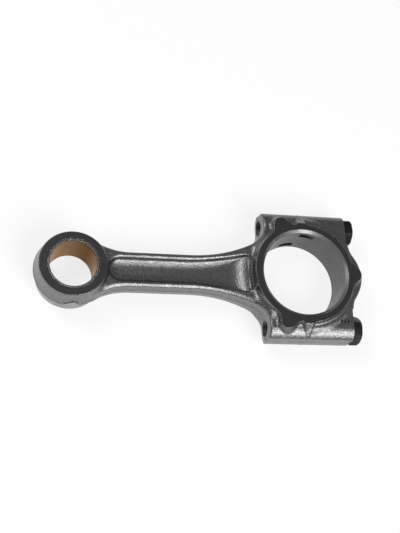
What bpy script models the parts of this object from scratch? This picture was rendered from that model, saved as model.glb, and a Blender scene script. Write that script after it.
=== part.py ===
"""Connecting rod of a small diesel engine, with its bolted bearing cap.

The rod lies on its side. X runs along it, from the small end to the bearing cap, Y runs
across the two cap screws, and both bores stand along Z. The world's origin is below the
middle of the rod, on the surface that the big end lies on. Every shape is drawn about the
centre of the big-end bore, and an empty carries them all to their place.
"""

import math

import bmesh
import bpy

# Driving dimensions, in metres and degrees.
CENTRES = 0.172            # big-end bore to small-end bore

HOUSING_R = 0.0320         # bare housing bore, without the bearing shells
HOUSING_CHAMFER = 0.0021
CHAMFER_DEPTH = 0.0019
BIG_HALF = 0.0164          # half the width over the thrust faces
RING_R = 0.0382            # machined thrust ring

BOLT_Y = 0.0396            # screw axis, from the middle of the rod
BOSS_SIDE = 0.0493         # flat outer side of the bolt bosses
BOSS_HALF = 0.0122         # half the height of the bosses, and the radius of their corners
BOSS_CORNER = 0.004
SHOULDER = 0.0302          # rod end of the bosses
SHOULDER_FILLET = 0.007
SEAT = 0.0361              # cap end of the bosses, where the screw heads sit

CAP_R = 0.0446             # forged back of the cap
NOSE_X = 0.0300            # bulge on the middle of the cap's back
NOSE_R = 0.0178
PAD_X = 0.0384             # pad beside the thrust ring, on the bulge
PAD_R = 0.0057
LOBE_X = 0.0160            # pads beside the thrust ring, on the rod
LOBE_Y = 0.0373
LOBE_R = 0.0058
RIB_HALF = 0.0055          # half a rib's width at its root, beside the joint
RIB_TAPER = 0.3            # what that loses over the rib's length
RIB_ROOT = 0.0346
RIB_TOP_Y = 0.0393
RIB_FOOT = (0.0471, 0.0081)

EYE_R = 0.0267             # small end, at its parting line
EYE_FACE_R = 0.0239        # small end, at its faces
EYE_HALF = 0.0158
EYE_LAND = 0.001           # half the height of its widest band
PAD_FACE = 0.0260          # milled face of the diamond-shaped pad on both sides of the eye
PAD_ROOT = 0.0215
PAD_OUTLINE = ((-0.0052, 0.0016), (0.0012, 0.0058), (0.0052, 0.0028))
BUSH_R = 0.0167
BUSH_WALL = 0.0019
BUSH_CHAMFER = 0.0008
BUSH_SUNK = 0.0005         # below the faces of the small end

SHANK_HALF_WIDTH = 0.0129
SHANK_HALF_HEIGHT = 0.0090
WEB_HALF = 0.003
FLANGE = 0.0036
FLARE_START = -0.085       # where the shank widens towards the big end
FLARE_R = 0.110
NECK_START = -0.130        # where it widens towards the small end
NECK_R = 0.050
SHANK_LEFT = -0.158        # the ends of the plain bar, inside the two ends of the rod
SHANK_RIGHT = -0.036
BODY_LEFT = -0.046         # where the body of the big end begins
CHANNEL_LEFT = -0.1466
CHANNEL_RIGHT = -0.0400
CHANNEL_CORNER = 0.004

TANG_R = 0.019             # arc-shaped slots for the tangs of the bearing shells
TANG_DEPTH = 0.0016
TANG_HALF = 0.0025
TANG_Z = 0.0090

SCREW_R = 0.006
SCREW_ROOM = 0.0005        # clearance round the screw in the cap
WAIST_R = 0.0058
SCREW_LENGTH = 0.0625
SCREW_CHAMFER = 0.001
HEAD_HEIGHT = 0.0077
HEAD_FLATS = 0.019
HEAD_DOME = 0.0035
HEAD_TOP_R = 0.0090
HEAD_TURN = 8.3            # between a corner of the head and the Y axis
DOWEL_R = 0.00675
DOWEL_BORE_R = 0.0061
DOWEL_LENGTH = 0.012

GAP = 0.0003               # room between two pieces that touch
REACH = 0.002              # how far a cutter runs past what it cuts
PAD_STEP = 0.0001          # the pads lie this much below the thrust face

STEPS_LARGE = 64
STEPS_MEDIUM = 48
STEPS_SMALL = 24

BIG_END_X = (EYE_R + CENTRES - NOSE_X - NOSE_R) / 2


def clear_scene():
    for existing in list(bpy.data.objects):
        bpy.data.objects.remove(existing, do_unlink=True)


def upright(u, v, height):
    """A section drawn in X and Y, extruded along Z."""
    return (u, v, height)


def along_x(u, v, height):
    """A section drawn in Y and Z, extruded along X."""
    return (height, u, v)


def along_y(u, v, height):
    """A section drawn in X and Z, extruded along Y."""
    return (u, height, v)


def arc(centre_x, centre_y, radius, start, end, steps):
    """Points along an arc, both ends included, with its angles in degrees."""
    points = []
    for step in range(steps + 1):
        angle = math.radians(start + (end - start) * step / steps)
        points.append((centre_x + radius * math.cos(angle), centre_y + radius * math.sin(angle)))
    return points


def spaced(start, end, steps):
    return [start + (end - start) * step / steps for step in range(steps + 1)]


def mirrored(upper):
    """A closed outline from its half above the first axis."""
    return upper + [(x, -y) for x, y in reversed(upper) if y > 0]


def loft(loops, ring=False):
    """A closed body through loops of points: with two end faces, or bent round into a ring."""
    bm = bmesh.new()
    rows = [[bm.verts.new(point) for point in loop] for loop in loops]
    pairs = list(zip(rows, rows[1:]))
    if ring:
        pairs.append((rows[-1], rows[0]))
    else:
        bm.faces.new(rows[0])
        bm.faces.new(rows[-1])
    for lower, upper in pairs:
        for step in range(len(lower)):
            after = (step + 1) % len(lower)
            bm.faces.new((lower[step], lower[after], upper[after], upper[step]))
    bmesh.ops.recalc_face_normals(bm, faces=bm.faces)
    mesh = bpy.data.meshes.new("loft")
    bm.to_mesh(mesh)
    bm.free()
    shape = bpy.data.objects.new("loft", mesh)
    bpy.context.scene.collection.objects.link(shape)
    return shape


def prism(outline, low, high, place=upright):
    return loft([[place(u, v, height) for u, v in outline] for height in (low, high)])


def turned(profile, steps, place=upright, centre=(0, 0), ring=False):
    """A body of revolution from (radius, height) points."""
    loops = []
    for radius, height in profile:
        circle = arc(*centre, radius, 0, 360, steps)[:-1]
        loops.append([place(u, v, height) for u, v in circle])
    return loft(loops, ring)


def disc(centre_x, centre_y, radius, half_height, steps):
    return turned([(radius, -half_height), (radius, half_height)], steps, centre=(centre_x, centre_y))


def block(x_range, y_range, z_range):
    corners = [(x, y) for x, y in zip(x_range * 2, (y_range[0], y_range[0], y_range[1], y_range[1]))]
    outline = [corners[0], corners[1], corners[3], corners[2]]
    return prism(outline, *z_range)


def combine(base, tool, operation):
    """Apply an exact Boolean to base and remove the tool."""
    modifier = base.modifiers.new(operation.lower(), "BOOLEAN")
    modifier.operation = operation
    modifier.solver = "EXACT"
    modifier.object = tool
    bpy.context.view_layer.update()
    evaluated = base.evaluated_get(bpy.context.evaluated_depsgraph_get())
    result = bpy.data.meshes.new_from_object(evaluated)
    base.modifiers.clear()
    base.data = result
    bpy.data.objects.remove(tool, do_unlink=True)


def join(base, *tools):
    for tool in tools:
        combine(base, tool, "UNION")


def cut(base, *tools):
    for tool in tools:
        combine(base, tool, "DIFFERENCE")


def widening(x, start, radius):
    """Half the shank's width at x, on the arc by which it widens from start."""
    return SHANK_HALF_WIDTH + radius - math.sqrt(radius ** 2 - (x - start) ** 2)


def flare(x):
    return widening(x, FLARE_START, FLARE_R)


def neck(x):
    return widening(x, NECK_START, NECK_R)


def shank():
    """The plain bar that the channels are cut into."""
    upper = [(x, neck(x)) for x in spaced(SHANK_LEFT, NECK_START, 7)]
    upper += [(x, flare(x)) for x in spaced(FLARE_START, SHANK_RIGHT, 11)]
    return prism(mirrored(upper), -SHANK_HALF_HEIGHT, SHANK_HALF_HEIGHT)


def channel(sign):
    """The long pocket in one face of the shank, which leaves the web and two flanges."""
    end_r = SHANK_HALF_WIDTH - FLANGE
    corner_x = CHANNEL_RIGHT - CHANNEL_CORNER
    corner_y = flare(corner_x) - FLANGE - CHANNEL_CORNER
    upper = arc(CHANNEL_LEFT + end_r, 0, end_r, 180, 90, 8)
    upper += [(x, flare(x) - FLANGE) for x in spaced(FLARE_START, corner_x - REACH, 7)]
    upper += arc(corner_x, corner_y, CHANNEL_CORNER, 75, 0, 4)
    low, high = sorted((sign * WEB_HALF, sign * BIG_HALF))
    return prism(mirrored(upper), low, high)


def eye():
    """The forged small end, widest at its parting line."""
    profile = [(EYE_FACE_R, -EYE_HALF), (EYE_R, -EYE_LAND), (EYE_R, EYE_LAND), (EYE_FACE_R, EYE_HALF)]
    return turned(profile, STEPS_LARGE, centre=(-CENTRES, 0))


def boss_section():
    """The height of the big end across the screws: low, with round corners and flat sides."""
    flat_angle = math.degrees(math.acos((BOSS_SIDE - BOLT_Y) / BOSS_HALF))
    corner = arc(BOLT_Y, 0, BOSS_HALF, flat_angle, 90, 8)
    right = [(y, -z) for y, z in reversed(corner)] + corner
    left = [(-y, -z) for y, z in right]
    return prism(right + left, -BOSS_SIDE, BOSS_SIDE, along_x)


def low_body(outline):
    """One half of the big end, without its thrust ring."""
    body = prism(outline, -BOSS_HALF - REACH, BOSS_HALF + REACH)
    combine(body, boss_section(), "INTERSECT")
    return body


def shoulder_outline():
    """The rod's half of the big end, from the flare of the shank to the joint."""
    turn_start = math.radians(60)
    fillet_x = -SHOULDER - SHOULDER_FILLET
    meet_x = fillet_x + SHOULDER_FILLET * math.cos(turn_start)
    fillet_y = flare(meet_x) + SHOULDER_FILLET * math.sin(turn_start)
    upper = [(x, flare(x)) for x in spaced(BODY_LEFT, fillet_x, 2)]
    upper += arc(fillet_x, fillet_y, SHOULDER_FILLET, -60, 0, 5)
    upper += [(-SHOULDER, BOSS_SIDE - BOSS_CORNER), (-SHOULDER + BOSS_CORNER, BOSS_SIDE)]
    upper += [(REACH, BOSS_SIDE)]
    return mirrored(upper)


def cap_outline():
    """The cap's half of the big end: two screw seats, and a round back with its bulge."""
    crossing_x = (CAP_R ** 2 - NOSE_R ** 2 + NOSE_X ** 2) / (2 * NOSE_X)
    crossing_y = math.sqrt(CAP_R ** 2 - crossing_x ** 2)
    back_end = math.degrees(math.atan2(crossing_y, crossing_x))
    nose_start = math.degrees(math.atan2(crossing_y, crossing_x - NOSE_X))
    back_start = math.degrees(math.acos(SEAT / CAP_R))
    upper = [(-REACH, BOSS_SIDE), (SEAT, BOSS_SIDE)]
    upper += arc(0, 0, CAP_R, back_start, back_end, 8)
    upper += arc(NOSE_X, 0, NOSE_R, nose_start, 0, 6)[1:]
    return mirrored(upper)


def rib(sign):
    """The tapered rib beside the joint, from the thrust face down to the boss."""
    upper = [(RIB_ROOT, BIG_HALF), (RIB_TOP_Y, BIG_HALF), RIB_FOOT, (RIB_FOOT[0], 0)]
    loops = []
    for side in (-1, 1):
        loops.append([(side * (RIB_HALF - RIB_TAPER * (y - RIB_ROOT)), sign * y, z)
                      for y, z in mirrored(upper)])
    return loft(loops)


def housing_cutter():
    """The big-end bore with a chamfer at both ends."""
    end = BIG_HALF + REACH
    wide = HOUSING_R + HOUSING_CHAMFER * (1 + REACH / CHAMFER_DEPTH)
    straight = BIG_HALF - CHAMFER_DEPTH
    profile = [(wide, -end), (HOUSING_R, -straight), (HOUSING_R, straight), (wide, end)]
    return turned(profile, STEPS_LARGE)


def tang_slot(z):
    """The arc-shaped cut at the joint that a bearing shell's tang drops into."""
    slot = disc(0, HOUSING_R + TANG_DEPTH - TANG_R, TANG_R, TANG_HALF, STEPS_MEDIUM)
    slot.location.z = z
    return slot


def screw_hole(sign, radius, low, high):
    return turned([(radius, low), (radius, high)], STEPS_SMALL, along_x, (sign * BOLT_Y, 0))


def beyond_joint(sign):
    """A block that covers everything on the far side of the joint."""
    x_range = sorted((-sign * GAP / 2, sign * CENTRES * 2))
    return block(x_range, (-CENTRES, CENTRES), (-CENTRES, CENTRES))


def cut_shared_bores(half):
    """The bores that run through the joint."""
    dowel_end = DOWEL_LENGTH / 2 + GAP
    cut(half, housing_cutter())
    for sign in (1, -1):
        cut(half, screw_hole(sign, DOWEL_R + GAP, -dowel_end, dowel_end))


def eye_pad(sign, inner, outer):
    """A diamond-shaped bar across one side of the small end."""
    outline = mirrored([(x - CENTRES, z) for x, z in PAD_OUTLINE])
    low, high = sorted((sign * inner, sign * outer))
    return prism(outline, low, high, along_y)


def pad_mill(sign):
    """A cutter for everything outside the milled face of the pad."""
    reach = PAD_OUTLINE[-1][0] + REACH
    y_range = sorted((sign * PAD_FACE, sign * (EYE_R + 2 * REACH)))
    return block((-CENTRES - reach, -CENTRES + reach), y_range, (-EYE_HALF / 2, EYE_HALF / 2))


def rod_body():
    body = low_body(shoulder_outline())
    join(body, shank(), disc(0, 0, RING_R, BIG_HALF, STEPS_LARGE), eye())
    for sign in (1, -1):
        lobe = disc(-LOBE_X, sign * LOBE_Y, LOBE_R, BIG_HALF - PAD_STEP, STEPS_SMALL)
        join(body, lobe, rib(sign))
        cut(body, channel(sign))
    cut(body, beyond_joint(1))
    cut_shared_bores(body)
    cut(body, disc(-CENTRES, 0, BUSH_R + BUSH_WALL + GAP, EYE_HALF + REACH, STEPS_MEDIUM))
    cut(body, tang_slot(-TANG_Z))
    for sign in (1, -1):
        cut(body, screw_hole(sign, SCREW_R + GAP, -SHOULDER - REACH, REACH))
        join(body, eye_pad(sign, PAD_ROOT, PAD_FACE + REACH))
        cut(body, pad_mill(sign))
    return body


def bearing_cap():
    cap = low_body(cap_outline())
    join(cap, disc(0, 0, RING_R, BIG_HALF, STEPS_LARGE))
    join(cap, disc(PAD_X, 0, PAD_R, BIG_HALF - PAD_STEP, STEPS_SMALL))
    join(cap, rib(1), rib(-1))
    cut(cap, beyond_joint(-1))
    cut_shared_bores(cap)
    cut(cap, tang_slot(TANG_Z))
    for sign in (1, -1):
        cut(cap, screw_hole(sign, SCREW_R + SCREW_ROOM, -REACH, SEAT + REACH))
    return cap


def bush():
    outer = BUSH_R + BUSH_WALL
    mouth = BUSH_R + BUSH_CHAMFER
    half = EYE_HALF - BUSH_SUNK
    upper = [(outer, half), (mouth, half), (BUSH_R, half - BUSH_CHAMFER)]
    profile = upper + [(radius, -height) for radius, height in reversed(upper)]
    return turned(profile, STEPS_MEDIUM, centre=(-CENTRES, 0), ring=True)


def cap_screw(sign):
    """A waisted cap screw along X, with its hexagon head on the cap."""
    centre = (sign * BOLT_Y, 0)
    seat = SEAT + GAP
    top = SEAT + HEAD_HEIGHT
    tip = SEAT - SCREW_LENGTH
    corner_r = HEAD_FLATS / math.sqrt(3)
    turn = -sign * HEAD_TURN
    hexagon = arc(*centre, corner_r, turn, turn + 360, 6)[:-1]
    screw = prism(hexagon, seat, top, along_x)
    wide = corner_r + REACH
    dome = [(wide, seat - REACH), (wide, top - HEAD_DOME), (HEAD_TOP_R, top)]
    combine(screw, turned(dome, STEPS_MEDIUM, along_x, centre), "INTERSECT")
    profile = [(SCREW_R - SCREW_CHAMFER, tip), (SCREW_R, tip + SCREW_CHAMFER),
               (SCREW_R, -DOWEL_LENGTH), (WAIST_R, SCREW_CHAMFER - DOWEL_LENGTH),
               (WAIST_R, seat + REACH)]
    join(screw, turned(profile, STEPS_SMALL, along_x, centre))
    return screw


def ring_dowel(sign):
    half = DOWEL_LENGTH / 2
    profile = [(DOWEL_R, -half), (DOWEL_R, half), (DOWEL_BORE_R, half), (DOWEL_BORE_R, -half)]
    return turned(profile, STEPS_SMALL, along_x, (sign * BOLT_Y, 0), ring=True)


def material(name, colour, metallic, roughness):
    made = bpy.data.materials.new(name)
    made.use_nodes = True
    shader = made.node_tree.nodes["Principled BSDF"]
    shader.inputs["Base Color"].default_value = (*colour, 1)
    shader.inputs["Metallic"].default_value = metallic
    shader.inputs["Roughness"].default_value = roughness
    return made


def finish(shape, name, surface, anchor):
    shape.name = name
    shape.data.name = name
    shape.data.materials.clear()
    shape.data.materials.append(surface)
    shape.data.shade_smooth()
    shape.data.set_sharp_from_angle(angle=math.radians(30))
    shape.parent = anchor


def main():
    clear_scene()
    anchor = bpy.data.objects.new("big_end_centre", None)
    anchor.location = (BIG_END_X, 0, BIG_HALF)
    bpy.context.scene.collection.objects.link(anchor)
    forged_steel = (0.20, 0.20, 0.21)
    finish(rod_body(), "rod_body", material("rod_forging", forged_steel, 0.9, 0.5), anchor)
    finish(bearing_cap(), "bearing_cap", material("cap_forging", forged_steel, 0.9, 0.5), anchor)
    bronze = material("bronze", (0.30, 0.15, 0.07), 1.0, 0.35)
    finish(bush(), "small_end_bush", bronze, anchor)
    for side, sign in (("left", 1), ("right", -1)):
        black_steel = material("screw_" + side, (0.02, 0.02, 0.022), 0.8, 0.35)
        dowel_steel = material("dowel_" + side, (0.45, 0.45, 0.46), 1.0, 0.3)
        finish(cap_screw(sign), "cap_bolt_" + side, black_steel, anchor)
        finish(ring_dowel(sign), "ring_dowel_" + side, dowel_steel, anchor)
    bpy.context.view_layer.update()


main()
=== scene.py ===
"""Looks of a forged connecting rod with its bolted cap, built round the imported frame.

The two forgings are drawn as fields: functions that are negative inside the metal and that
give the distance to its surface in millimetres, about the centre of the big-end bore. Fillets,
drafts and rounded edges come from how the fields are combined. Each field is turned into a
mesh, and the machined faces, bores and holes are then cut into it.
"""

import math

import bmesh
import bpy
import numpy as np
import openvdb
from mathutils import Matrix, Vector

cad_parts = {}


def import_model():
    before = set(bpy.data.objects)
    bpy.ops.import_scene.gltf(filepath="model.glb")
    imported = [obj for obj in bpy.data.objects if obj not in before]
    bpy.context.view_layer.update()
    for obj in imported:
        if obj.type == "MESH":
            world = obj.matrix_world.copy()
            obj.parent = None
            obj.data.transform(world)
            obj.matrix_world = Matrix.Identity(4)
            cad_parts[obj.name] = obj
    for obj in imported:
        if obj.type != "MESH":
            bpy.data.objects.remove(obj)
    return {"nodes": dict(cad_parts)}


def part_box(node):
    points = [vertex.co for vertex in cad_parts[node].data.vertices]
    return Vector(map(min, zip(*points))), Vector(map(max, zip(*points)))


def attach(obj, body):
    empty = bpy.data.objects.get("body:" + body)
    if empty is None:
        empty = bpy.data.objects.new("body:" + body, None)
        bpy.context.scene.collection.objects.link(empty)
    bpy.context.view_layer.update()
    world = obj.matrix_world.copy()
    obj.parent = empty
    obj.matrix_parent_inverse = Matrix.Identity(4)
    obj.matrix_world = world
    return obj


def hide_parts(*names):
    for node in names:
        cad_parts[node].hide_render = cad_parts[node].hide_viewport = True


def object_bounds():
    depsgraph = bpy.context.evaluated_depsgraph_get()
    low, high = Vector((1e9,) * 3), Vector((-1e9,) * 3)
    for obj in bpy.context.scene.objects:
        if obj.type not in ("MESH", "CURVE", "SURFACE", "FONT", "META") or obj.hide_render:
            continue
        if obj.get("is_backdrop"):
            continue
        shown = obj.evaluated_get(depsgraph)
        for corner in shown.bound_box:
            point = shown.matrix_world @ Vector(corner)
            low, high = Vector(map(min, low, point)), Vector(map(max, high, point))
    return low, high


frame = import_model()
cad_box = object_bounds()

MM = 0.001


def middle(node):
    """The middle of a CAD node's box."""
    low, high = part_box(node)
    return (low + high) / 2


# What the frame gives: the centre of the big-end bore in metres, and two lengths in millimetres.
BIG_END = Vector((middle("ring_dowel_left").x, 0, middle("small_end_bush").z))
CENTRES = (BIG_END.x - middle("small_end_bush").x) / MM
BOLT_Y = middle("ring_dowel_left").y / MM

# The rest is in millimetres, from the centre of the big-end bore, unless it says otherwise.
# A round is the radius of an outer edge, a fillet that of an inner corner, and a draft the
# slope of a forged wall.

# The big end's thrust rings and bore
HOUSING_R = 32.0
HOUSING_CHAMFER = (2.1, 1.9)        # across and deep
HOUSING_STEPS = 192
BIG_HALF = 16.4                     # half the height over the thrust faces
RING_R = 38.2
RING_DRAFT = 0.12
RING_FILLET = 2.2
LOBE = (-16.0, 37.3)                # a bump on the rod's thrust rings
PAD = (38.4, 0.0)                   # and one on the cap's
LOBE_R = 5.8
LOBE_DRAFT = 0.18
LOBE_FILLET = 4.0
STOCK = 0.15                        # forged stock that the faces are machined from
EDGE = 0.9                          # round of the forged edges about the machined faces
TANG_Z = 9.0                        # the slots for the tangs of the bearing shells
TANG_HALF = 2.5
TANG_DEPTH = 1.6
TANG_CUTTER_R = 19.0

# The bosses for the two screws
BOSS_SIDE = 49.3
BOSS_R = 12.2
BOSS_ROUND = 0.6
SIDE_ROUND = 0.3
SHOULDER = 30.2                     # from the joint to the rod's shoulders
SHOULDER_DRAFT = 0.13
SHOULDER_ROUND = 1.3
SHOULDER_FILLET = 4.0               # at the parting line
SHOULDER_FILLET_GROWTH = 0.75       # with the height above or below it
SHOULDER_FILLET_MOST = 14.0
SEAT = 36.1                         # from the joint to the seats of the screw heads
SEAT_INNER_Y = 25.6
SEAT_STOCK = 1.0
SEAT_ROUND = 0.8
RIB_HALF = 3.7                      # the ribs beside the joint
RIB_TAPER = 0.34
RIB_TAPER_RUN = 9.0
RIB_FLANK = 0.3
RIB_TOP = (39.3, 16.4)
RIB_FOOT = (48.3, 8.3)
RIB_ROUND = 0.7
RIB_FILLET = 1.0

# The cap's back
CAP_R = 44.6
CAP_DRAFT = 0.11
CAP_ROUND = 1.5
CAP_FILLET = 3.0
NOSE_X = 30.0                       # a bulge in its middle
NOSE_R = 16.0
NOSE_FILLET = 8.0

# The small end
EYE_R = 26.7
EYE_OVAL = 0.98                     # its width over its length
EYE_DRAFT = 0.145
EYE_HALF = 15.8
EYE_FILLET = 2.5
EYE_PAD_FACE = 26.0                 # a small pad on both of its sides, milled flat
EYE_PAD = ((-5.2, 1.6), (1.2, 5.8), (5.2, 2.8))
EYE_BORE = 18.6
EYE_COUNTERSINK = 0.15              # how deep it starts below the face
EYE_CONE = 2.05                     # the height of its cone where it is PAST wider
BUSH_R = 16.7
BUSH_SUNK = 0.5
BUSH_CHAMFER = 0.25                 # at its bore
BUSH_LEAD = (0.3, 0.2)              # outside, across and along
BUSH_STEPS = 160

# The shank
SHANK_WIDTH = 13.45                 # half, at the parting line
SHANK_DRAFT = 0.07
SHANK_ROUND = 0.4
SHANK_REACH = 4.0                   # into the small end
FACET_TILT = math.radians(29)       # the wear on the flanges' outer edges
FACET_DEPTH = 1.0
FACET_ROUND = 0.2
SHANK_HEIGHT = 8.95
HEIGHT_START = -58.0
HEIGHT_SLOPE = 0.06
FLARE_START = -85.0
FLARE_R = 110.0
FLARE_END = -33.0
NECK_START = -130.0
NECK_R = 50.0
NECK_END = -155.5

# The pocket in both of its faces
WEB_HALF = 3.0
CHANNEL_HALF = 9.35
CHANNEL_WIDEST = 15.6
CHANNEL_FLARE_START = -90.0
CHANNEL_FLARE_R = 120.0
CHANNEL_FLARE_RUN = 60.0
CHANNEL_LEFT = -146.6
CHANNEL_RIGHT = -36.3
CHANNEL_BEND = 8.0                  # fillets of its outline, at the widest place
CHANNEL_CORNER = 9.0                # and in the corners at the big end
CHANNEL_DRAFT = 0.36
CHANNEL_ROUND = 0.7
CHANNEL_END_FILLET = 7.5
DISH_WIDTH = 6.3
DISH_SLOPE = 0.55
RAMP_START = -51.5
RAMP_SLOPE = 0.52
RAMP_BEND = 3.0
SLOPE_BEND = 1.6                    # of the other slopes
WEB_FILLET = 3.0
WALL_FILLET = 1.2
RIM_WIDTH = 1.35                    # the sloping rim
RIM_RUN = 1.7
RIM_DEPTH = 2.0
RIM_END = -45.0
RIM_FADES = (8.0, 20.0)             # the lengths that it fades over, left and right

# Trimmed flash along the parting line
FLASH = 0.4
FLASH_HALF = 0.6

# The screws, their holes and the ring dowels' bores
SCREW_R = 6.0
SCREW_ROOM = 0.4
SCREW_TIP = -26.4
SCREW_WAIST_R = 5.3
SCREW_LEAST_R = 5.0                 # at the tip and at the thread's runout
SCREW_STEPS = 48
PITCH = 1.25
THREAD_LENGTH = 22.0
THREAD_DEPTH = 0.75
THREAD_ROWS = 10                    # for each turn
THREAD_RUNOUT = 1.0
RUNOUT_SLOPE = 2.0
CREST = 1.25                        # above 1 it flattens the thread's crests
TIP_CHAMFER = 0.9
HOLE_STEPS = 64
TAPPED_ROOM = 0.1
TAPPED_PAST = 5.0                   # how far the cutter reaches past the shoulder
DOWEL_BORE = (6.95, 6.3)            # radius and depth
PAST = 3.0                          # how far the other cutters reach past a face
HEAD_TOP = 43.8
HEAD_FLATS = 19.0
HEAD_TURN = 8.3                     # in degrees
HEAD_BEVEL = 0.25

# The chisel strokes on the cap
STROKES = 3
STROKE_START = (26.6, -36.0)
STROKE_PITCH = 2.6
STROKE_TURN = 75                    # in degrees
STROKE_LENGTH = 5.0
STROKE_HALF = 0.6
STROKE_DEPTH = 0.8
STROKE_ABOVE = 2.5                  # how far the cutter stands above the boss

# Meshing
EDGE_INSET = EDGE - math.sqrt(EDGE ** 2 - (EDGE - STOCK) ** 2)
VOXEL = 0.6
FAR = 10.0                          # distances past this are cut off
ROD_RANGE = ((-201, -52, -19), (1.2, 52, 19))
CAP_RANGE = ((-1.2, -52, -19), (49, 52, 19))
GAP = 0.04                          # left between pieces that touch
SLAB = 60.0                         # half the width of the cutters for the big end's faces
EYE_SLAB = 32.0                     # and for the small end's
SHARP = math.radians(30)

# The floor, in metres
FLOOR_SIDE = 15.0
FLOOR_DROP = 0.0002


# Fields

def both(a, b, radius):
    """Where both fields are metal, with the edge between them rounded."""
    corner = np.hypot(np.maximum(a + radius, 0), np.maximum(b + radius, 0))
    return np.minimum(np.maximum(a, b), -radius) + corner


def either(a, b, radius):
    """Where one field or the other is metal, with a fillet in the corner between them."""
    return -both(-a, -b, radius)


def shank_width(x):
    """Half the width of the shank at the parting line, and its slope."""
    right = np.clip(x, FLARE_START, FLARE_END) - FLARE_START
    left = np.clip(x, NECK_END, NECK_START) - NECK_START
    right_root = np.sqrt(FLARE_R ** 2 - right ** 2)
    left_root = np.sqrt(NECK_R ** 2 - left ** 2)
    width = SHANK_WIDTH + FLARE_R - right_root + NECK_R - left_root
    return width, right / right_root + left / left_root


def arc_rise(run, radius):
    """The height of a concave arc that starts level."""
    return radius - np.sqrt(radius ** 2 - run ** 2)


def slope_rise(run, slope, bend=SLOPE_BEND):
    """The height of a slope that starts level, with a soft bend."""
    return slope * (run + np.sqrt(run ** 2 + bend ** 2)) / 2


def shank_height(x):
    """Half the shank's height, which grows a little towards the big end."""
    return SHANK_HEIGHT + slope_rise(x - HEIGHT_START, HEIGHT_SLOPE)


def channel_sides(x, a, b):
    """The pocket's outline at the flange tops, its drafted walls, and the inset for the web."""
    end_x = CHANNEL_LEFT + CHANNEL_HALF
    flare = np.clip(x - CHANNEL_FLARE_START, 0, CHANNEL_FLARE_RUN)
    half = CHANNEL_HALF + arc_rise(flare, CHANNEL_FLARE_R)
    across = np.where(x < end_x, np.hypot(x - end_x, a), a)
    outline = both(across - half, a - CHANNEL_WIDEST, CHANNEL_BEND)
    outline = both(outline, x - CHANNEL_RIGHT, CHANNEL_CORNER)
    below = np.maximum(shank_height(x) - b, 0)
    return outline, outline + CHANNEL_DRAFT * below, across - half


def channel_field(x, a, b):
    """The pocket in the shank's faces: its web slopes up to the walls and to the ring."""
    outline, walls, inset = channel_sides(x, a, b)
    dish = WEB_HALF + slope_rise(inset + DISH_WIDTH, DISH_SLOPE) - b
    ramp = WEB_HALF + slope_rise(x - RAMP_START, RAMP_SLOPE, RAMP_BEND) - b
    below = np.maximum(shank_height(x) - b, 0)
    fade_left = np.clip((x - CHANNEL_LEFT) / RIM_FADES[0], 0, 1)
    fade_right = np.clip((RIM_END - x) / RIM_FADES[1], 0, 1)
    width = RIM_WIDTH * fade_right * fade_left
    rim = np.maximum((outline - width) / RIM_RUN + below, below - RIM_DEPTH)
    return np.minimum(both(walls, both(dish, ramp, WEB_FILLET), WALL_FILLET), rim)


def shank_field(x, a, b):
    """The bar between the two ends, with its worn outer edges and without its pockets."""
    width, slope = shank_width(x)
    side = (a - width + b * SHANK_DRAFT) / np.sqrt(1 + slope ** 2)
    top = b - shank_height(x)
    facet = side * math.sin(FACET_TILT) + top * math.cos(FACET_TILT) + FACET_DEPTH
    bar = both(both(side, top, SHANK_ROUND), facet, FACET_ROUND)
    return np.maximum(bar, np.maximum(NECK_END - SHANK_REACH - x, x - FLARE_END))


def boss_section(a, b):
    """The big end's section across the screws."""
    round_corner = np.where(a < BOLT_Y, b, np.hypot(a - BOLT_Y, b)) - BOSS_R
    return both(round_corner, a - BOSS_SIDE, BOSS_ROUND)


def disc_field(x, a, b, centre, radius, draft):
    """A round pad with drafted sides, its radius given at the thrust face."""
    side = np.hypot(x - centre[0], a - centre[1]) - radius - (BIG_HALF - b) * draft
    return both((side - EDGE_INSET) / math.sqrt(1 + draft ** 2), b - BIG_HALF - STOCK, EDGE)


def rib_field(x, a, b):
    """The rib beside the joint: it slopes down outwards, narrows, and widens towards its root."""
    run = (RIB_FOOT[0] - RIB_TOP[0], RIB_FOOT[1] - RIB_TOP[1])
    length = math.hypot(*run)
    slope = ((a - RIB_TOP[0]) * -run[1] + (b - RIB_TOP[1]) * run[0]) / length
    narrowing = np.clip(a - RIB_TOP[0], 0, RIB_TAPER_RUN) * RIB_TAPER
    half = RIB_HALF - narrowing - np.minimum(slope, 0) * RIB_FLANK
    front = np.maximum(slope, np.maximum(b - BIG_HALF - STOCK, a - BOSS_SIDE))
    across = 0.9                    # distance to its sloping sides for each unit along x
    return both((np.abs(x) - half) * across, front, RIB_ROUND)


def parting_flash(b):
    """How far the flash stands out."""
    return FLASH * np.exp(-(b / FLASH_HALF) ** 2)


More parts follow.
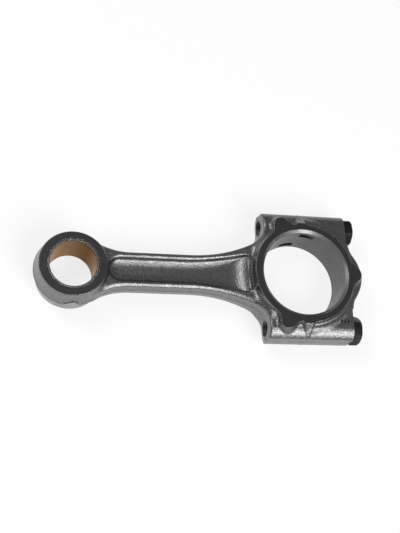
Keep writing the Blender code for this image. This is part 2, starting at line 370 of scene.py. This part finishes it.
def rod_field(x, y, z):
    a, b = np.abs(y), np.abs(z)
    eye_side = np.hypot(x + CENTRES, a / EYE_OVAL) - EYE_R + b * EYE_DRAFT
    eye = both(eye_side, b - EYE_HALF - STOCK, EDGE)
    shank = either(shank_field(x, a, b), eye, EYE_FILLET)
    shank = both(shank, -channel_field(x, a, b), CHANNEL_ROUND)
    boss = both(boss_section(a, b), -x - SHOULDER + b * SHOULDER_DRAFT, SHOULDER_ROUND)
    fillet = SHOULDER_FILLET + SHOULDER_FILLET_GROWTH * b
    body = either(shank, boss, np.clip(fillet, SHOULDER_FILLET, SHOULDER_FILLET_MOST))
    ring = disc_field(x, a, b, (0, 0), RING_R, RING_DRAFT)
    lobe = disc_field(x, a, b, LOBE, LOBE_R, LOBE_DRAFT)
    walls = channel_sides(x, a, b)[1]
    channel_end = np.maximum(either(shank, ring, CHANNEL_END_FILLET), walls)
    body = either(body, either(ring, lobe, LOBE_FILLET), RING_FILLET)
    body = either(np.minimum(body, channel_end), rib_field(x, a, b), RIB_FILLET)
    return both(body, a - BOSS_SIDE, SIDE_ROUND) - parting_flash(b)


def cap_field(x, y, z):
    a, b = np.abs(y), np.abs(z)
    boss = both(boss_section(a, b), x - SEAT - SEAT_STOCK, SEAT_ROUND)
    back = np.hypot(x, a) - CAP_R + b * CAP_DRAFT
    nose = np.hypot(x - NOSE_X, a) - NOSE_R
    back = both(either(back, nose + b * CAP_DRAFT, NOSE_FILLET), b - BOSS_R, CAP_ROUND)
    ring = disc_field(x, a, b, (0, 0), RING_R, RING_DRAFT)
    pad = np.maximum(disc_field(x, a, b, PAD, LOBE_R, LOBE_DRAFT), nose)
    body = either(either(boss, back, CAP_FILLET), either(ring, pad, LOBE_FILLET), RING_FILLET)
    body = either(body, rib_field(x, a, b), RIB_FILLET)
    return both(body, a - BOSS_SIDE, SIDE_ROUND) - parting_flash(b)


# Meshes

def as_object(name, points, faces):
    """A mesh object from points in millimetres about the big-end centre."""
    mesh = bpy.data.meshes.new(name)
    mesh.from_pydata([tuple(point) for point in points], [], [tuple(face) for face in faces])
    mesh.transform(Matrix.Translation(BIG_END) @ Matrix.Scale(MM, 4))
    mesh.update()
    made = bpy.data.objects.new(name, mesh)
    bpy.context.scene.collection.objects.link(made)
    return made


def meshed(name, field, span):
    """The surface of a field, with every point drawn onto it exactly."""
    low, high = np.array(span[0], float), np.array(span[1], float)
    lines = [np.arange(start, end + VOXEL, VOXEL) for start, end in zip(low, high)]
    values = field(*np.meshgrid(*lines, indexing="ij"))
    grid = openvdb.FloatGrid(FAR)
    grid.copyFromArray(np.clip(values, -FAR, FAR).astype(np.float32))
    points, quads = grid.convertToQuads(0.0)
    points = points.astype(float) * VOXEL + low
    step, passes, flattest = 0.02, 4, 0.2
    for _ in range(passes):
        value = field(*points.T)
        slope = np.empty_like(points)
        for axis in range(3):
            ahead, behind = points.copy(), points.copy()
            ahead[:, axis] += step
            behind[:, axis] -= step
            slope[:, axis] = (field(*ahead.T) - field(*behind.T)) / (2 * step)
        size = np.maximum((slope ** 2).sum(1), flattest)
        move = -value[:, None] * slope / size[:, None]
        points += np.clip(move, -VOXEL / 2, VOXEL / 2)
    return as_object(name, points, quads)


def circle(radius, steps):
    angles = [math.tau * step / steps for step in range(steps)]
    return [(radius * math.cos(angle), radius * math.sin(angle)) for angle in angles]


def upright(u, v, height):
    return (u, v, height)


def along_x(u, v, height):
    return (height, u, v)


def along_y(u, v, height):
    return (u, height, v)


def skin(rows, steps, ring=False):
    """The faces over rows of points, with flat ends unless the rows form a ring."""
    faces = []
    for row in range(rows if ring else rows - 1):
        below, above = row * steps, (row + 1) % rows * steps
        for step in range(steps):
            after = (step + 1) % steps
            faces.append((below + step, below + after, above + after, above + step))
    if not ring:
        faces.append(tuple(range(steps)))
        faces.append(tuple(range((rows - 1) * steps, rows * steps)))
    return faces


def turned(name, profile, centre, materials, steps, place=upright, ring=False):
    """A body of revolution from (radius, height) points, with a material for each stretch."""
    points = []
    for radius, height in profile:
        points += [place(u + centre[0], v + centre[1], height) for u, v in circle(radius, steps)]
    made = as_object(name, points, skin(len(profile), steps, ring))
    outward(made)
    for surface in dict.fromkeys(materials):
        made.data.materials.append(surface)
    slots = list(dict.fromkeys(materials))
    for polygon in made.data.polygons:
        row = min(polygon.index // steps, len(materials) - 1)
        polygon.material_index = slots.index(materials[row])
    return made


def prism(name, outline, low, high, surface, place=upright):
    """A straight body over an outline, between two heights."""
    points = [place(u, v, height) for height in (low, high) for u, v in outline]
    count = len(outline)
    faces = [tuple(range(count)), tuple(range(count, 2 * count))]
    for step in range(count):
        after = (step + 1) % count
        faces.append((step, after, count + after, count + step))
    made = as_object(name, points, faces)
    outward(made)
    made.data.materials.append(surface)
    return made


def block(name, x_range, y_range, z_range, surface):
    outline = [(x, y) for x, y in zip((*x_range, *reversed(x_range)), np.repeat(y_range, 2))]
    return prism(name, outline, *z_range, surface)


def outward(made):
    """Turn all of the faces outwards."""
    bm = bmesh.new()
    bm.from_mesh(made.data)
    bmesh.ops.recalc_face_normals(bm, faces=bm.faces)
    bm.to_mesh(made.data)
    bm.free()


def apply_modifiers(made):
    bpy.context.view_layer.update()
    evaluated = made.evaluated_get(bpy.context.evaluated_depsgraph_get())
    result = bpy.data.meshes.new_from_object(evaluated)
    made.modifiers.clear()
    made.data = result


def combine(base, tool, operation):
    """Apply a Boolean to base, which takes the tool's materials on the new faces."""
    modifier = base.modifiers.new(operation.lower(), "BOOLEAN")
    modifier.operation = operation
    modifier.solver = "MANIFOLD"
    modifier.material_mode = "TRANSFER"
    modifier.object = tool
    apply_modifiers(base)
    bpy.data.objects.remove(tool, do_unlink=True)


def cut(base, *tools):
    for tool in tools:
        combine(base, tool, "DIFFERENCE")


def drop_specks(made):
    """Keep only the largest connected surface, without the specks that cutting leaves."""
    bm = bmesh.new()
    bm.from_mesh(made.data)
    found, islands = set(), []
    for seed in bm.verts:
        if seed in found:
            continue
        found.add(seed)
        island = [seed]
        for vert in island:
            fresh = [edge.other_vert(vert) for edge in vert.link_edges]
            fresh = [other for other in fresh if other not in found]
            found.update(fresh)
            island += fresh
        islands.append(island)
    islands.sort(key=len)
    specks = [vert for island in islands[:-1] for vert in island]
    bmesh.ops.delete(bm, geom=specks, context="VERTS")
    bm.to_mesh(made.data)
    bm.free()


def shade(made):
    """Smooth shading, sharp where the material changes and at machined edges."""
    mesh = made.data
    bm = bmesh.new()
    bm.from_mesh(mesh)
    forged = mesh.materials[0] == FORGING
    for face in bm.faces:
        face.smooth = True
    for edge in bm.edges:
        if len(edge.link_faces) != 2:
            continue
        first, second = edge.link_faces
        if first.material_index != second.material_index:
            edge.smooth = False
        elif first.material_index > 0 or not forged:
            edge.smooth = edge.calc_face_angle(0) < SHARP
    bm.to_mesh(mesh)
    bm.free()


# Materials

class Nodes:
    """Short calls for building a node material."""

    def __init__(self, name, roughness, metallic, colour, tint=(1, 1, 1)):
        self.material = bpy.data.materials.new(name)
        self.material.use_nodes = True
        self.tree = self.material.node_tree
        self.shader = self.tree.nodes["Principled BSDF"]
        self.shader.inputs["Metallic"].default_value = metallic
        self.shader.inputs["Roughness"].default_value = roughness
        self.shader.inputs["Base Color"].default_value = (*colour, 1)
        self.shader.inputs["Specular Tint"].default_value = (*tint, 1)
        self.place = self.add("ShaderNodeTexCoord").outputs["Object"]

    def add(self, kind, **inputs):
        node = self.tree.nodes.new(kind)
        for name, value in inputs.items():
            self.set(node, name, value)
        return node

    def set(self, node, name, value):
        socket = node.inputs[name]
        if isinstance(value, bpy.types.NodeSocket):
            self.tree.links.new(value, socket)
        else:
            socket.default_value = value

    def noise(self, scale, detail=2.0, roughness=0.5, place=None):
        """Grain of about 1/scale metres."""
        node = self.add("ShaderNodeTexNoise", Scale=scale, Detail=detail, Roughness=roughness)
        self.set(node, "Vector", self.place if place is None else place)
        return node.outputs["Fac"]

    def mapped(self, scale, shift=(0, 0, 0)):
        node = self.add("ShaderNodeMapping", Vector=self.place, Scale=scale, Location=shift)
        return node.outputs["Vector"]

    def rings(self, finest):
        """Marks that run round an upright bore, about 1/finest metres apart."""
        around = 60
        return self.noise(1, 2, place=self.mapped((around, around, finest)))

    def ranged(self, value, low, high, start, end):
        """A value between low and high, turned into one between start and end."""
        node = self.add("ShaderNodeMapRange")
        for name, number in (("From Min", low), ("From Max", high), ("To Min", start), ("To Max", end)):
            self.set(node, name, number)
        self.set(node, "Value", value)
        return node.outputs["Result"]

    def ramp(self, value, *stops):
        node = self.add("ShaderNodeValToRGB", Fac=value)
        ramp = node.color_ramp
        while len(ramp.elements) < len(stops):
            ramp.elements.new(0.5)
        for element, (place, colour) in zip(ramp.elements, stops):
            element.position = place
            element.color = (*colour, 1)
        return node.outputs["Color"]

    def bump(self, height, distance, strength=1.0, onto=None):
        node = self.add("ShaderNodeBump", Height=height, Distance=distance, Strength=strength)
        if onto is not None:
            self.set(node, "Normal", onto)
        return node.outputs["Normal"]

    def finish(self, colour=None, roughness=None, normal=None):
        for name, value in (("Base Color", colour), ("Roughness", roughness), ("Normal", normal)):
            if value is not None:
                self.set(self.shader, name, value)
        return self.material


def grey(value):
    return (value, value, value * 1.02)


def forging():
    """Shot-blasted forging scale: peened dimples over slow colour patches."""
    made = Nodes("blasted_forging", 0.33, 1.0, grey(0.2))
    patches = made.noise(700, 4, 0.65)
    colour = made.ramp(patches, (0.35, grey(0.155)), (0.65, grey(0.245)))
    roughness = made.ranged(made.noise(600, 3), 0.3, 0.7, 0.25, 0.37)
    dimples = made.bump(made.noise(1200, 2, 0.6), 0.00023)
    waves = made.bump(made.noise(260, 3), 0.00014, onto=dimples)
    return made.finish(colour, roughness, waves)


def machined(name, shade_of_grey, roughness):
    """A ground face with very fine, even marks."""
    made = Nodes(name, roughness, 1.0, grey(shade_of_grey))
    marks = made.noise(2500, 2)
    colour = made.ramp(marks, (0.3, grey(shade_of_grey * 0.92)), (0.7, grey(shade_of_grey * 1.08)))
    rough = made.ranged(made.noise(300, 3), 0.3, 0.7, roughness - 0.03, roughness + 0.03)
    return made.finish(colour, rough, made.bump(marks, 0.000006))


def bore_steel(name, shade_of_grey, roughness):
    """A honed bore: fine rings round it."""
    made = Nodes(name, roughness, 1.0, grey(shade_of_grey))
    rings = made.rings(3500)
    colour = made.ramp(rings, (0.3, grey(shade_of_grey * 0.9)), (0.7, grey(shade_of_grey * 1.1)))
    rough = made.ranged(made.noise(120, 3), 0.3, 0.7, roughness - 0.04, roughness + 0.04)
    return made.finish(colour, rough, made.bump(rings, 0.00001))


def chatter_shade_and_glints():
    """A faced edge with the marks of a tool that chattered: the marks are real bumps, and its
    near-black colour with near-white flecks is painted shade with painted glints.
    """
    made = Nodes("tool_chatter_shade_and_glints", 0.4, 1.0, grey(0.2))
    marks = made.noise(2300, 2, 0.7)
    # Near black, with near-white flecks: painted glints on painted shade.
    colour = made.ramp(marks, (0.54, grey(0.08)), (0.64, grey(0.9)))
    return made.finish(colour, made.ranged(marks, 0.4, 0.7, 0.5, 0.3), made.bump(marks, 0.0003))


def bronze():
    """Bored bronze, tan on the side away from the big end and darkest brown near the side towards it.
    """
    made = Nodes("bored_bronze", 0.27, 1.0, (0.18, 0.105, 0.062), (0.86, 0.68, 0.54))
    rings = made.rings(3000)
    across = 31.25                      # turns the width of the bore into the ramp below
    place = made.mapped((across, across, across), (3.5, 0, 0))
    towards_big_end = made.add("ShaderNodeTexGradient", Vector=place).outputs["Fac"]
    tan, brown, between = (0.2, 0.13, 0.086), (0.079, 0.039, 0.021), (0.15, 0.095, 0.06)
    # Tan, then darkest brown near the side towards the big end, and a little lighter at its very edge.
    colour = made.ramp(towards_big_end, (0.45, tan), (0.84, brown), (0.98, between))
    rough = made.ranged(made.noise(60, 4, 0.6), 0.3, 0.7, 0.22, 0.33)
    return made.finish(colour, rough, made.bump(rings, 0.00001))


def black_oxide_and_shade(name, tone, roughness):
    """Oiled black steel, with a slow change of tone: the screws' black oxide, and painted shade on the
    faces of the tang slots and chisel strokes.
    """
    made = Nodes(name, roughness, 0.8, grey(tone))
    grain = made.noise(1500, 3)
    colour = made.ramp(made.noise(200, 3), (0.3, grey(tone * 0.8)), (0.7, grey(tone * 1.3)))
    rough = made.ranged(grain, 0.3, 0.7, roughness - 0.05, roughness + 0.06)
    return made.finish(colour, rough, made.bump(grain, 0.00001))


FORGING = forging()
GROUND = machined("ground_face", 0.114, 0.31)
SEAT_FACE = machined("spot_face", 0.35, 0.3)
MILLED = machined("milled_flat", 0.33, 0.4)
BORE = bore_steel("honed_bore", 0.125, 0.42)
CHAMFER = bore_steel("turned_chamfer", 0.36, 0.3)
CHATTER_SHADE_AND_GLINTS = chatter_shade_and_glints()
# Drilled steel for the holes' walls, its dull grey partly painted shade for the inside of the holes.
HOLE_STEEL_AND_SHADE = machined("drilled_hole_and_shade", 0.19, 0.35)
BRONZE = bronze()
# Black oxide on the screws, and painted shade in the tang slots and chisel strokes.
OXIDE_AND_SHADE = black_oxide_and_shade("black_oxide_and_shade", 0.026, 0.36)
DOWEL = machined("dowel_steel", 0.45, 0.25)


# Pieces

def face_cutters(centre_x, reach, half):
    """The two slabs that a pair of faces is ground off by."""
    thickness = 6
    x_range = (centre_x - reach, centre_x + reach)
    for sign in (1, -1):
        z_range = sorted((sign * half, sign * (half + thickness)))
        yield block("slab", x_range, (-SLAB, SLAB), z_range, GROUND)


def housing_cutter():
    """The big-end bore, with a chamfer that goes on past the faces."""
    beyond = 3                          # in times the chamfer
    across, deep = HOUSING_CHAMFER
    straight = BIG_HALF - deep
    wide, top = HOUSING_R + across * (1 + beyond), BIG_HALF + deep * beyond
    profile = [(wide, -top), (HOUSING_R, -straight), (HOUSING_R, straight), (wide, top)]
    return turned("housing", profile, (0, 0), [CHAMFER, BORE, CHAMFER, CHAMFER], HOUSING_STEPS)


def screw_cutter(sign, profile):
    # The walls take the holes' dull grey, partly painted shade.
    return turned("hole", profile, (sign * BOLT_Y, 0), [HOLE_STEEL_AND_SHADE], HOLE_STEPS, along_x)


def hole_cutter(sign, radius, low, high):
    return screw_cutter(sign, [(radius, low), (radius, high)])


def tapped_hole_cutter(sign, low, high):
    """A hole with the grooves of its thread, as rings."""
    profile = []
    for groove in range(round((high - low) / PITCH)):
        start = low + groove * PITCH
        profile += [(SCREW_R + THREAD_DEPTH, start), (SCREW_R + TAPPED_ROOM, start + PITCH / 2)]
    return screw_cutter(sign, profile)


def tang_cutter(z):
    """The round cutter that a shell's tang slot is milled with; it leaves the slot's faces black, as
    painted shade.
    """
    steps = 96
    profile = [(TANG_CUTTER_R, z - TANG_HALF), (TANG_CUTTER_R, z + TANG_HALF)]
    centre = (0, HOUSING_R + TANG_DEPTH - TANG_CUTTER_R)
    return turned("tang", profile, centre, [OXIDE_AND_SHADE], steps)


def punch_stroke(x, y):
    """A short chisel cut of the kind that pairs a cap with its rod; its faces are black, as painted
    shade in the groove.
    """
    turn = math.radians(STROKE_TURN)
    along = Vector((math.cos(turn), math.sin(turn)))
    aside = Vector((-along.y, along.x)) * STROKE_HALF
    ends = (-along * STROKE_LENGTH / 2, -aside, along * STROKE_LENGTH / 2, aside)
    outline = [(x + end.x, y + end.y) for end in ends]
    return prism("stroke", outline, BOSS_R - STROKE_DEPTH, BOSS_R + STROKE_ABOVE, OXIDE_AND_SHADE)


def beyond_joint(sign):
    """Everything on the far side of the joint, less half of the gap."""
    reach, width, height = 260, 70, 30
    x_range = sorted((-sign * GAP / 2, sign * reach))
    return block("far_side", x_range, (-width, width), (-height, height), GROUND)


def eye_pad(made, sign):
    """The pad on one side of the small end: a raised diamond with a milled face."""
    upper = [(x - CENTRES, z) for x, z in EYE_PAD]
    outline = upper + [(x, -z) for x, z in reversed(upper)]
    depth = sorted((sign * (EYE_BORE + PAST), sign * (EYE_R + 1)))
    combine(made, prism("pad", outline, *depth, FORGING, along_y), "UNION")
    half_length, half_height = 12, 9
    x_range = (-CENTRES - half_length, -CENTRES + half_length)
    beyond = sorted((sign * EYE_PAD_FACE, sign * (EYE_R + PAST)))
    cut(made, block("pad_face", x_range, beyond, (-half_height, half_height), MILLED))


def eye_bore_cutter():
    """The small end's bore, with a countersink at both ends."""
    straight = EYE_HALF - EYE_COUNTERSINK
    wide, top = EYE_BORE + PAST, straight + EYE_CONE
    profile = [(wide, -top), (EYE_BORE, -straight), (EYE_BORE, straight), (wide, top)]
    # The countersinks take the chatter colour: painted shade with painted glints.
    surfaces = [CHATTER_SHADE_AND_GLINTS, BORE, CHATTER_SHADE_AND_GLINTS, CHATTER_SHADE_AND_GLINTS]
    return turned("eye_bore", profile, (-CENTRES, 0), surfaces, BUSH_STEPS)


def rod():
    made = meshed("rod_forging_piece", rod_field, ROD_RANGE)
    made.data.materials.append(FORGING)
    cut(made, *face_cutters(0, SLAB, BIG_HALF), *face_cutters(-CENTRES, EYE_SLAB, EYE_HALF))
    cut(made, beyond_joint(1), housing_cutter(), eye_bore_cutter())
    for sign in (1, -1):
        eye_pad(made, sign)
        cut(made, hole_cutter(sign, DOWEL_BORE[0], -DOWEL_BORE[1], PAST))
        cut(made, tapped_hole_cutter(sign, -SHOULDER - TAPPED_PAST, PAST))
    cut(made, tang_cutter(-TANG_Z))
    return made


def cap():
    made = meshed("cap_forging_piece", cap_field, CAP_RANGE)
    made.data.materials.append(FORGING)
    cut(made, *face_cutters(0, SLAB, BIG_HALF))
    cut(made, beyond_joint(-1), housing_cutter())
    depth, height = 15, 20
    for sign in (1, -1):
        across = sorted((sign * SEAT_INNER_Y, sign * SLAB))
        cut(made, block("seat", (SEAT, SEAT + depth), across, (-height, height), SEAT_FACE))
        cut(made, hole_cutter(sign, DOWEL_BORE[0], -PAST, DOWEL_BORE[1]))
        cut(made, hole_cutter(sign, SCREW_R + SCREW_ROOM, -PAST, SEAT + PAST))
    cut(made, tang_cutter(TANG_Z))
    for step in range(STROKES):
        cut(made, punch_stroke(STROKE_START[0] + STROKE_PITCH * step, STROKE_START[1]))
    return made


def bush():
    half = EYE_HALF - BUSH_SUNK
    outer = EYE_BORE - GAP
    across, along = BUSH_LEAD
    upper = [(outer, half - along), (outer - across, half)]
    upper += [(BUSH_R + BUSH_CHAMFER, half), (BUSH_R, half - BUSH_CHAMFER)]
    profile = upper + [(radius, -height) for radius, height in reversed(upper)]
    # The end faces take the chatter colour: painted shade with painted glints.
    surfaces = [GROUND, CHATTER_SHADE_AND_GLINTS, BRONZE, BRONZE, BRONZE, CHATTER_SHADE_AND_GLINTS, GROUND, BRONZE]
    return turned("bush_piece", profile, (-CENTRES, 0), surfaces, BUSH_STEPS, ring=True)


def thread_radius(angle, height):
    """The radius of the thread's surface at an angle and a height, a rounded V."""
    phase = (height / PITCH - angle / math.tau) % 1.0
    ridge = 1 - abs(2 * phase - 1)
    return SCREW_R - THREAD_DEPTH * (1 - min(ridge * CREST, 1.0))


def threaded_shank(sign):
    """The screw's shank, with a real helical thread on the end in the rod."""
    lead, step_up = 0.05, 0.5           # from the tip to the thread, and from it to the waist
    rows = range(int(THREAD_LENGTH / PITCH * THREAD_ROWS))
    heights = [SCREW_TIP] + [SCREW_TIP + lead + PITCH / THREAD_ROWS * row for row in rows]
    angles = [math.tau * step / SCREW_STEPS for step in range(SCREW_STEPS)]
    points = []
    for height in heights:
        run = height - SCREW_TIP
        runout = max(0.0, (run - THREAD_LENGTH + THREAD_RUNOUT) * RUNOUT_SLOPE)
        limit = SCREW_R - max(0.0, TIP_CHAMFER - run) - runout
        for angle in angles:
            radius = max(min(thread_radius(angle, height), limit), SCREW_LEAST_R)
            points.append((height, sign * BOLT_Y + radius * math.cos(angle), radius * math.sin(angle)))
    waist = circle(SCREW_WAIST_R, SCREW_STEPS)
    for height in (heights[-1] + step_up, SEAT + 0.5):
        points += [along_x(u + sign * BOLT_Y, v, height) for u, v in waist]
    made = as_object("screw_shank", points, skin(len(heights) + 2, SCREW_STEPS))
    outward(made)
    made.data.materials.append(OXIDE_AND_SHADE)
    return made


def head_dome(sign, corner_r):
    """The turned envelope that rounds off the corners of a screw's head."""
    steps, rows = 96, 8
    start, sweep = 8, 40                # of its curve, in degrees
    rise, curve = 4.6, 7.28
    outside, above = 0.9, 0.2           # past the head's corners, and past its top
    profile = [(corner_r + 2, SEAT - 1)]
    for row in range(rows + 1):
        angle = math.radians(start + sweep * row / rows)
        radius = corner_r + outside - curve * (1 - math.cos(angle))
        profile.append((radius, HEAD_TOP + above - rise + rise * row / rows))
    return turned("dome", profile, (sign * BOLT_Y, 0), [OXIDE_AND_SHADE], steps, along_x)


def screw(side, sign):
    """A cap screw: a hexagon with bevelled edges and a domed top, on a threaded shank."""
    corner_r = HEAD_FLATS / math.sqrt(3)
    angles = [math.radians(60 * corner - sign * HEAD_TURN) for corner in range(6)]
    outline = [(corner_r * math.cos(angle) + sign * BOLT_Y, corner_r * math.sin(angle))
               for angle in angles]
    head = prism("cap_screw_" + side, outline, SEAT + GAP, HEAD_TOP, OXIDE_AND_SHADE, along_x)
    bevel = head.modifiers.new("edges", "BEVEL")
    bevel.width = HEAD_BEVEL * MM
    bevel.segments = 2
    apply_modifiers(head)
    combine(head, head_dome(sign, corner_r), "INTERSECT")
    combine(head, threaded_shank(sign), "UNION")
    return head


def install(piece, node):
    """Finish a piece, attach it to the root body, and hide the CAD part that it stands for."""
    drop_specks(piece)
    shade(piece)
    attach(piece, "root")
    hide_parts(node)


install(rod(), "rod_body")
install(cap(), "bearing_cap")
install(bush(), "small_end_bush")
for side, sign in (("left", 1), ("right", -1)):
    install(screw(side, sign), "cap_bolt_" + side)
    dowel = frame["nodes"]["ring_dowel_" + side]
    for material_slot in dowel.material_slots:
        material_slot.material = DOWEL


# Stage

def plain(name, colour, emission):
    """An even, dull surface that glows a little."""
    made = Nodes(name, 0.9, 0.0, colour)
    made.shader.inputs["Emission Color"].default_value = (1, 1, 1, 1)
    made.shader.inputs["Emission Strength"].default_value = emission
    return made.material


def floor():
    mesh = bpy.data.meshes.new("floor")
    corners = [(u * FLOOR_SIDE, v * FLOOR_SIDE, 0) for u, v in ((-1, -1), (1, -1), (1, 1), (-1, 1))]
    mesh.from_pydata(corners, [], [(0, 1, 2, 3)])
    made = bpy.data.objects.new("floor", mesh)
    made.location.z = -FLOOR_DROP
    bpy.context.scene.collection.objects.link(made)
    mesh.materials.append(plain("pale_floor", (0.2, 0.2, 0.2), 0.79))
    made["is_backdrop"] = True


def lamp(name, place, size, power):
    """A soft panel that faces the rod."""
    data = bpy.data.lights.new(name, "AREA")
    data.shape = "RECTANGLE"
    data.size, data.size_y = size
    data.energy = power
    made = bpy.data.objects.new(name, data)
    made.location = place
    made.rotation_euler = (-Vector(place)).to_track_quat("-Z", "Y").to_euler()
    bpy.context.scene.collection.objects.link(made)


def camera():
    """A short telephoto lens, high above the small end and to one side of it."""
    data = bpy.data.cameras.new("camera")
    data.lens = 66.74
    data.sensor_width = 36
    data.clip_start = 0.01
    made = bpy.data.objects.new("camera", data)
    right = Vector((0.9701, -0.0432, 0.2388)).normalized()
    back = Vector((-0.2393, -0.3346, 0.9115))
    back = (back - right * back.dot(right)).normalized()
    up = back.cross(right)
    turn = Matrix((right, up, back)).transposed().to_4x4()
    place = BIG_END + Vector((-251.6, -237.7, 666.7)) * MM
    made.matrix_world = Matrix.Translation(place) @ turn
    bpy.context.scene.collection.objects.link(made)
    bpy.context.scene.camera = made


def world(strength):
    """Even white surroundings."""
    made = bpy.data.worlds.new("studio")
    made.use_nodes = True
    background = made.node_tree.nodes["Background"]
    background.inputs["Color"].default_value = (1, 1, 1, 1)
    background.inputs["Strength"].default_value = strength
    bpy.context.scene.world = made


camera()
floor()
world(0.252)
lamp("key", place=(0.5, -0.92, 1.18), size=(0.7, 0.9), power=16.5)
lamp("side", place=(-0.8, 0.5, 1.25), size=(0.5, 0.7), power=8.4)
bpy.context.scene.view_settings.view_transform = "Standard"

boxes = {"cad": cad_box, "visual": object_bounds()}
{name: [list(corner) for corner in box] for name, box in boxes.items()}
